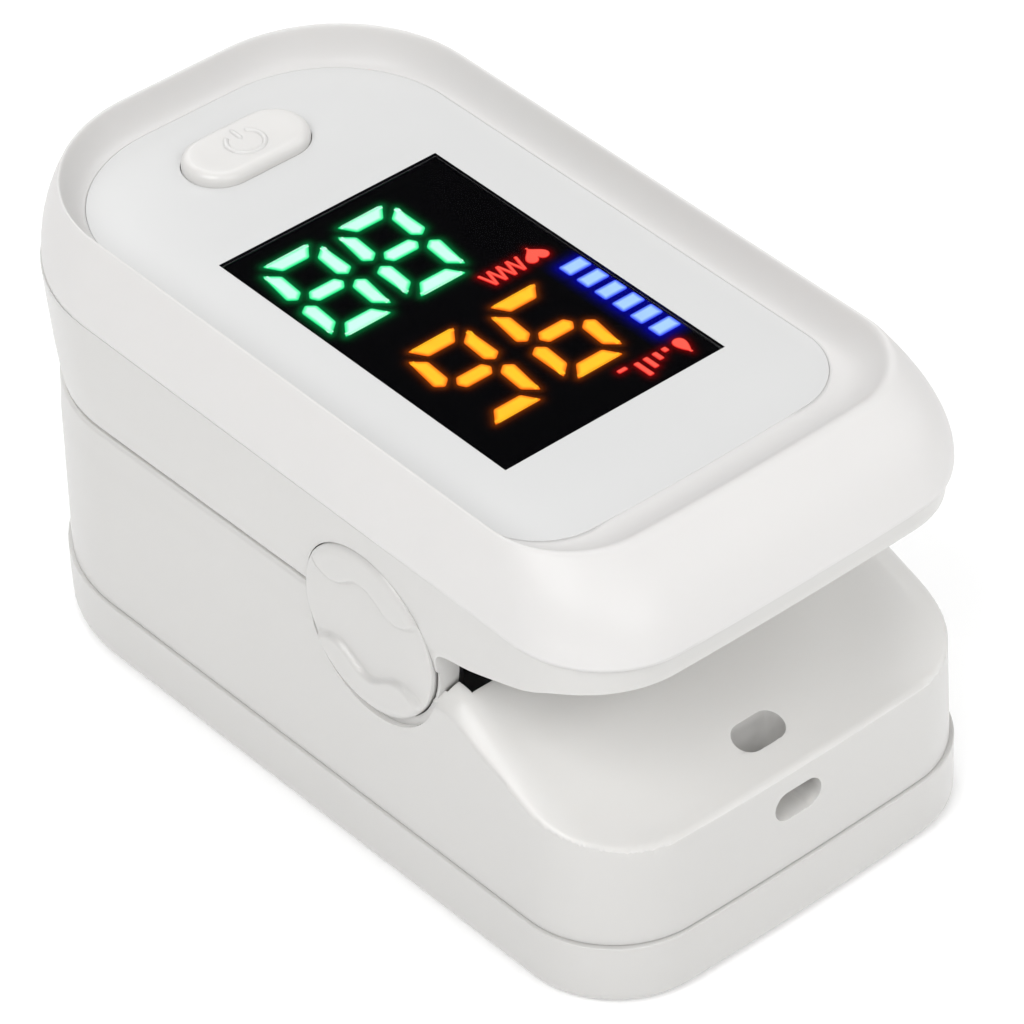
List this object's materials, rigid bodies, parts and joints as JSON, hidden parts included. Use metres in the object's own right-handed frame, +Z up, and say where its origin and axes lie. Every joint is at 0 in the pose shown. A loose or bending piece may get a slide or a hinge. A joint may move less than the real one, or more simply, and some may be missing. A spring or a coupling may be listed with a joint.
{
  "type": "fingertip pulse oximeter",
  "caption": "Spring clip for a fingertip with soft sensor pads in its two jaws, a lit read-out and a button on top, and a battery tray below.",
  "frame": {"origin": "centre of the flat base, on the surface it rests on", "axes": "+Z up, -Y towards the end where the finger goes in, +Y towards the end that is squeezed, +X to the reader's right at the finger end"},
  "size_m": [0.0314, 0.0584, 0.0317],
  "materials": {
    "housing": "smooth satin warm white",
    "button": "smooth satin warm white",
    "panel": "high gloss cool white",
    "window": "polished black",
    "display": "black module with lit bars",
    "silicone": "matt black silicone",
    "frame": "plain moulded",
    "steel": "nickel plated",
    "board": "green solder mask",
    "chip": "moulded black",
    "lens": "clear lens",
    "cell": "printed sleeve",
    "flex": "polyimide film"
  },
  "bodies": {
    "lower_jaw": {"lower_shell": "housing", "lower_frame": "frame", "lower_finger_pad": "silicone", "sensor_board": "board", "photodiode": "chip", "sensor_lens": "lens", "battery_left": "cell", "battery_right": "cell", "contact_bridge": "steel", "contact_positive": "steel", "contact_negative": "steel", "battery_spring_right": "steel", "battery_spring_left": "steel", "hinge_pin_left": "steel", "hinge_pin_right": "steel", "torsion_spring_left": "steel", "torsion_spring_right": "steel", "lower_flex": "flex"},
    "battery_cover": {"battery_cover": "housing"},
    "upper_jaw": {"upper_shell": "housing", "upper_finger_pad": "silicone", "emitter_lens": "lens", "emitter_led": "chip", "emitter_board": "board", "hinge_cap_left": "housing", "hinge_cap_right": "housing", "cover_screw_left": "steel", "cover_screw_right": "steel", "upper_flex": "flex", "top_cover": "housing", "face_panel": "panel", "display_window": "window", "led_display": "display", "main_board": "board", "mcu_chip": "chip", "tact_switch": "chip"},
    "power_button": {"power_button": "button"}
  },
  "joints": [
    {"name": "jaw_hinge", "type": "hinge", "parent": "lower_jaw", "child": "upper_jaw", "pos_m": [0, 0.00865, 0.0177], "axis": [-1, 0, 0], "range_deg": [0, 24], "stiffness_Nm_per_rad": 0.12, "springref_deg": -17.19},
    {"name": "power_button_press", "type": "slide", "parent": "upper_jaw", "child": "power_button", "axis": [0, -0.0279, -0.9996], "range_m": [0, 0.0004], "stiffness_N_per_m": 2000, "springref_m": -0.0002},
    {"name": "battery_cover_slide", "type": "slide", "parent": "lower_jaw", "child": "battery_cover", "axis": [0, -1, 0], "range_m": [0, 0.005]}
  ]
}
